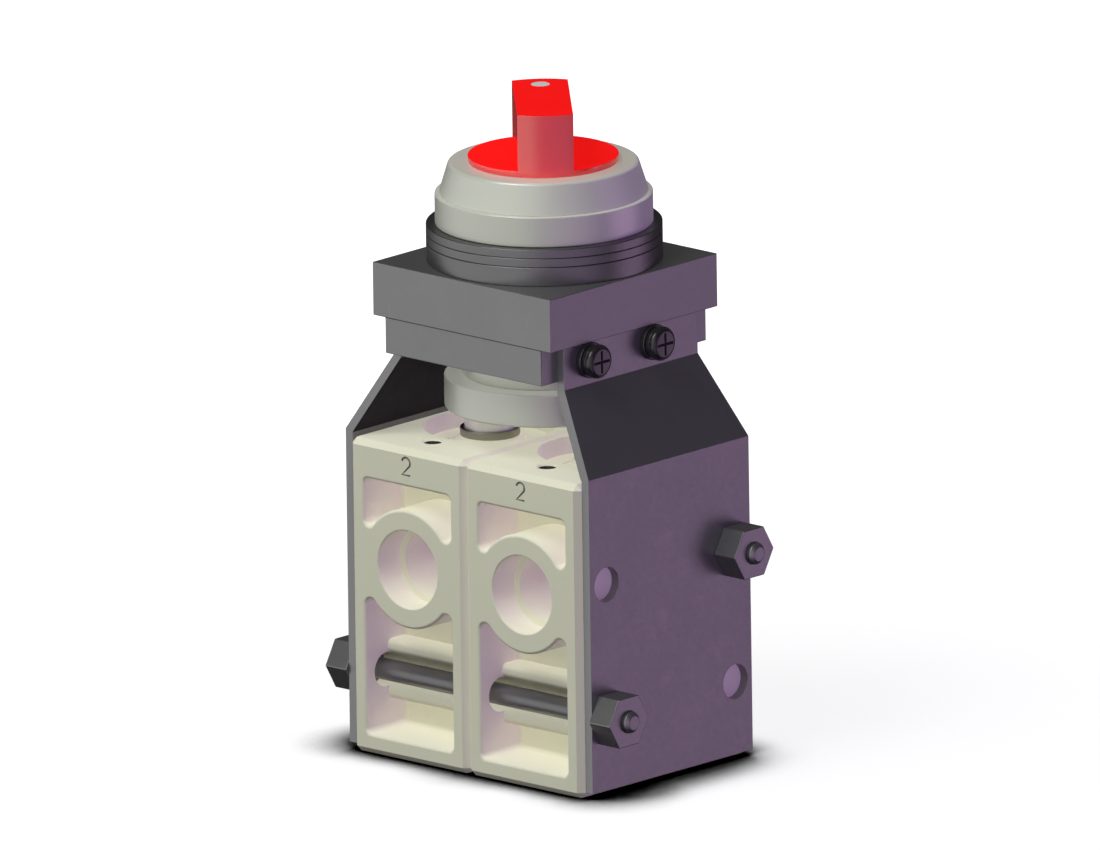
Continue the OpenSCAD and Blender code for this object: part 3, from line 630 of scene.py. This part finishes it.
def makeBody():
    v = valveBody
    low, high = boxOf("left_body")
    halfWidth, halfDepth, top = (high.x - low.x) / 2, (high.y - low.y) / 2, high.z
    body = soften(cuboid("body", (-halfWidth, -halfDepth, 0), (halfWidth, halfDepth, top)), v["chamfer"], segments=1)
    middle = Matrix.Translation((0, 0, v["faceMiddle"]))
    turnedOver = middle @ Matrix.Rotation(math.pi, 4, "X") @ middle.inverted()

    def windowRim(a, b):
        return all(abs(abs(p.y) - halfDepth) < 0.01 and abs(p.x) < v["windowHalf"] + 0.1 and 2 < p.z < top - 2
                   for p in (a, b))

    for cutter in windowCutters(halfDepth):
        carve(body, placedCopy(cutter, "rear", turnedOver))
        carve(body, cutter)
    body = soften(body, v["windowLip"], windowRim, 4, 50, clamp=False)
    for cutter in boreCutters(halfDepth):
        carve(body, placedCopy(cutter, "rear", turnedOver))
        carve(body, cutter)
    floor = top - v["recessDepth"]
    bushEnd = floor - v["bushLength"]
    carve(body, lathe("recess", [
        (0, top + 2, 0), (v["recessRim"], top + 2, 0), (v["recessRim"], top, 0),
        (v["recessWall"], top - v["recessRimHeight"], 0), (v["recessWall"], floor, 0), (v["bushBore"], floor, 0),
        (v["bushBore"], bushEnd, 0), (v["chamberBore"], bushEnd, 0), (v["chamberBore"], v["seatTop"], 0),
        (0, v["seatTop"], 0)]))
    carve(body, lathe("plug bore", [
        (0, -2, 0), (v["plugBore"], -2, 0), (v["plugBore"], v["plugTop"], 0), (v["seatBore"], v["plugTop"], 0),
        (v["seatBore"], v["seatTop"] + 0.1, 0), (0, v["seatTop"] + 0.1, 0)]))
    for side in (-1, 1):
        hole, deep = v["topHole"], v["topHoleDepth"]
        carve(body, lathe("top hole", [(0, 1, 0), (hole + 0.3, 1, 0), (hole + 0.3, 0, 0), (hole, -0.3, 0),
                                       (hole, -deep, 0), (0, -deep - hole / 2, 0)],
                          (0, side * (halfDepth - v["topHoleInset"]), top), steps=48))
    carve(body, figureTwo(-halfDepth))
    carve(body, figureOne(halfDepth))
    return shade(body)


def inFigure(centre, middle, halfDepth):
    # true inside the groove of an engraved figure
    v = valveBody
    near = abs(centre.x - middle) < v["digitWidth"] and abs(centre.z - v["digitMiddle"]) < 0.6 * v["digitHeight"]
    return near and 0.005 < halfDepth - abs(centre.y) < 0.3


def inTopHole(centre, middle, halfDepth, top):
    # true on the wall and floor of the two small holes in a body's top
    v = valveBody
    aside = math.hypot(centre.x - middle, abs(centre.y) - (halfDepth - v["topHoleInset"]))
    return aside < v["topHole"] + 0.05 and top - v["topHoleDepth"] - 1 < centre.z < top - 0.28


# painted shade: the engraved figures on the bodies are coloured dark
figureShadeLook = engravedFigureShade()
# painted shade: the wall and floor of the two small top holes are coloured dark grey metal below their pale chamfer
holeShadeLook = turnedMetal("top hole painted shade", (0.30, 0.30, 0.29), 0.34)
pattern = makeBody()
for side in ("left", "right"):
    low, high = boxOf(side + "_body")
    middle = (low.x + high.x) / 2
    body = dress(placedCopy(pattern, side + "_valve_body", Matrix.Translation((middle, 0, 0))), side + "_body")
    addFinish(body, figureShadeLook, lambda centre, facing: inFigure(centre, middle, high.y))
    addFinish(body, holeShadeLook, lambda centre, facing: inTopHole(centre, middle, high.y, high.z))
bpy.data.objects.remove(pattern)
print("valve bodies carved")


# Rings, bezel and cam, turned about the knob's axis

rings = {
    "panel_gasket": {"bore": 14.05, "rounding": 0.18}, "lower_washer": {"bore": 14.05, "rounding": 0.14},
    "upper_washer": {"bore": 14.05, "rounding": 0.14}, "lock_ring": {"bore": 14.05, "rounding": 0.22},
    "cam_neck": {"bore": 4.05, "rounding": 0.3},
}
for node, size in rings.items():
    low, high = boxOf(node)
    bore, outer, r = size["bore"], high.x, size["rounding"]
    dress(lathe(node + "_turned", [(bore, low.z, 0), (outer, low.z, r), (outer, high.z, r), (bore, high.z, 0)],
                steps=160), node)

bezel = {"top": 15.6, "bore": 14.05, "lip": 1.35, "hubRoom": 8.3, "topRounding": 0.5, "footRounding": 0.12}


def makeBezel():
    low, high = boxOf("bezel")
    b = bezel
    return lathe("bezel_turned", [
        (b["bore"], low.z, 0), (high.x, low.z, b["footRounding"]), (b["top"], high.z, b["topRounding"]),
        (b["hubRoom"], high.z, 0.15), (b["hubRoom"], high.z - b["lip"], 0), (b["bore"], high.z - b["lip"], 0)],
        steps=160, segments=4)


dress(makeBezel(), "bezel")
softCopy("cam_disc", 0.35, lambda a, b: min(math.hypot(a.x, a.y), math.hypot(b.x, b.y)) > 16.6, 3)
print("rings, bezel and cam turned")


# Knob

knob = {"edge": 0.22, "inlayDrop": 0.12, "inlayRounding": 0.1}
softCopy("knob", knob["edge"], lambda a, b: min(a.z, b.z) > boxOf("bezel")[1].z, 3)
softCopy("knob_marker", knob["inlayRounding"], None, 2)


# Operator block and side plates

block = {"edge": 0.35}
plate = {"edge": 0.12}
plateInsideShade = paintedShadeBlack()


def outerEdge(a, b):
    return (a - b).length > 3 and max(abs(a.x), abs(a.y)) > 15 and max(abs(b.x), abs(b.y)) > 15


softCopy("operator_block", block["edge"], outerEdge, 3)
for side in ("left", "right"):
    plateCopy = softCopy(side + "_side_plate", plate["edge"], None, 2)
    inward = 1 if side == "left" else -1
    # painted shade on the inner slopes, the faces that point inward and down
    addFinish(plateCopy, plateInsideShade, lambda centre, facing: facing.x * inward > 0.5 and facing.z < -0.25)
print("block and plates shaped")


# Tie rods and nuts

rod = {"tip": 0.6, "tipRounding": 0.1, "shadedReach": 26}


def makeRod(node):
    low, high = boxOf(node)
    end, radius, tip = high.x, (high.z - low.z) / 2, rod["tip"]
    upper = [(radius - tip, end, rod["tipRounding"]), (radius, end - tip, rod["tipRounding"])]
    lower = [(radius, -height, rounding) for radius, height, rounding in reversed(upper)]
    middle = (0, (low.y + high.y) / 2, (low.z + high.z) / 2)
    return lathe(node + "_turned", [(0, end, 0)] + upper + lower + [(0, -end, 0)], middle, alongX, 96)


# painted shade: the rod between the plates gets a darker copy of its black oxide than its tips outside them
shaftShade = darkMetal("rod shaft painted shade", (0.185, 0.183, 0.187), 0.85, 0.32, 1700)
for node in ("front_tie_rod", "rear_tie_rod"):
    addFinish(dress(makeRod(node), node), shaftShade, lambda centre, facing: abs(centre.x) < rod["shadedReach"])
softCopy("tie_rod_nuts", 0.14, None, 2)
print("tie rods and nuts made")


# Plate screws with their washers

screws = {"frontY": -10.2, "rearY": 5.1, "height": 71.4, "plateFace": 19.0, "thread": 1.5, "length": 6.6,
          "head": 2.85, "headHeight": 1.2, "headRounding": 0.9, "crossWidth": 0.5, "crossReach": 1.9, "crossDepth": 0.75,
          "flatRadius": 3.0, "springRadius": 2.7, "washer": 0.9, "hole": 1.6, "split": 0.6, "washerRounding": 0.22}


def makeScrew():
    s = screws
    seat = 2 * s["washer"]
    top = seat + s["headHeight"]
    screw = lathe("screw", [(0, seat - s["length"], 0), (s["thread"], seat - s["length"], 0.2), (s["thread"], seat, 0),
                            (s["head"], seat, 0.1), (s["head"], top, s["headRounding"]), (0, top, 0)], steps=64, segments=5)
    for across in ((s["crossReach"], s["crossWidth"] / 2), (s["crossWidth"] / 2, s["crossReach"])):
        carve(screw, cuboid("cross", (-across[0], -across[1], top - s["crossDepth"]), (across[0], across[1], top + 1)))
    return shade(screw)


def makeWasher(name, radius, low, split):
    s = screws
    high = low + s["washer"]
    r = s["washerRounding"]
    washer = lathe(name, [(s["hole"], low, 0), (radius, low, r), (radius, high, r), (s["hole"], high, 0)], steps=64)
    if split:
        carve(washer, cuboid("split", (0, -s["split"] / 2, low - 1), (radius + 1, s["split"] / 2, high + 1)))
    return shade(washer)


def atScrews(name, single, node):
    s = screws
    copies = []
    for side in (-1, 1):
        for y in (s["frontY"], s["rearY"]):
            place = Matrix.Scale(side, 4, (1, 0, 0)) @ Matrix.Translation((s["plateFace"], y, s["height"])) @ alongX
            copies.append(placedCopy(single, name, place))
    bpy.data.objects.remove(single)
    dress(gather(name, copies), node)


atScrews("pan_head_screws", makeScrew(), "plate_screws")
atScrews("flat_washer_set", makeWasher("washer", screws["flatRadius"], 0, False), "flat_washers")
atScrews("spring_washer_set", makeWasher("washer", screws["springRadius"], screws["washer"], True), "spring_washers")
print("screws and washers made")


# Plungers, collars and bushes

for side in ("left", "right"):
    softCopy(side + "_plunger", 0.15, None, 2)
    softCopy(side + "_plunger_collar", 0.15, None, 2)
    softCopy(side + "_guide_bush", 0.1, None, 2)
    softCopy(side + "_bottom_plug", 0.12, None, 2)
print("plungers softened")


# Springs of the left plunger, each copied with a mesh of its own; on the valve they shorten when the plunger goes down

for node in ("left_return_spring", "left_poppet_spring"):
    wire = dress(toPiece(node + "_wire", fromPiece(frame["nodes"][node])), node)
    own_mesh(wire)
print("springs made")


# Finish of the CAD nodes that stay

for node, shown in frame["nodes"].items():
    shown.data.materials.clear()
    shown.data.materials.append(lookOf(node))
print("finishes set on the other nodes")


# Floor

floorTone = {"seen": 0.40, "glow": 0.64, "hidden": 0.20, "paintedShadowReach": 0.014, "paintedShadowFrom": 0.59,
             "paintedShadowTo": 0.95, "fadeFrom": 0.05, "fadeTo": 0.3}


def makeFloor():
    # white for the camera, with the object's shadow and a painted shadow that darkens the floor close to it
    bm = bmesh.new()
    bmesh.ops.create_grid(bm, x_segments=1, y_segments=1, size=3)
    mesh = bpy.data.meshes.new("studio floor")
    bm.to_mesh(mesh)
    bm.free()
    floor = addObject("studio floor", mesh)
    floor.visible_glossy = False
    look = Look("pale floor")
    f = floorTone
    camera, glossy, clear = look.rays()
    # painted shadow: ambient occlusion darkens the floor's colour and glow near the valve
    near = look.node("ShaderNodeAmbientOcclusion", {"samples": 12}, {"Distance": f["paintedShadowReach"]}, "AO")
    level = look.band(near, f["paintedShadowFrom"], f["paintedShadowTo"])
    distance = look.node("ShaderNodeVectorMath", {"operation": "LENGTH"}, {0: look.coords}, "Value")
    away = look.band(distance, f["fadeFrom"], f["fadeTo"])
    seen = look.node("ShaderNodeBsdfDiffuse", {}, {"Color": look.mix(level, (0, 0, 0), (f["seen"],) * 3)}, "BSDF")
    strength = level * (f["glow"] + away * (1 - f["glow"]))
    glow = look.node("ShaderNodeEmission", {}, {"Color": (1, 1, 1), "Strength": strength}, "Emission")
    lit = look.node("ShaderNodeAddShader", {}, {0: seen, 1: glow})
    hidden = look.node("ShaderNodeBsdfDiffuse", {}, {"Color": (f["hidden"],) * 3}, "BSDF")
    both = look.node("ShaderNodeMixShader", {}, {0: camera.atLeast(clear), 1: hidden, 2: lit})
    look.tree.nodes.remove(look.shader)
    look.feed(look.tree.nodes["Material Output"].inputs["Surface"], both)
    mesh.materials.append(look.material)


makeFloor()
print("scene ready")
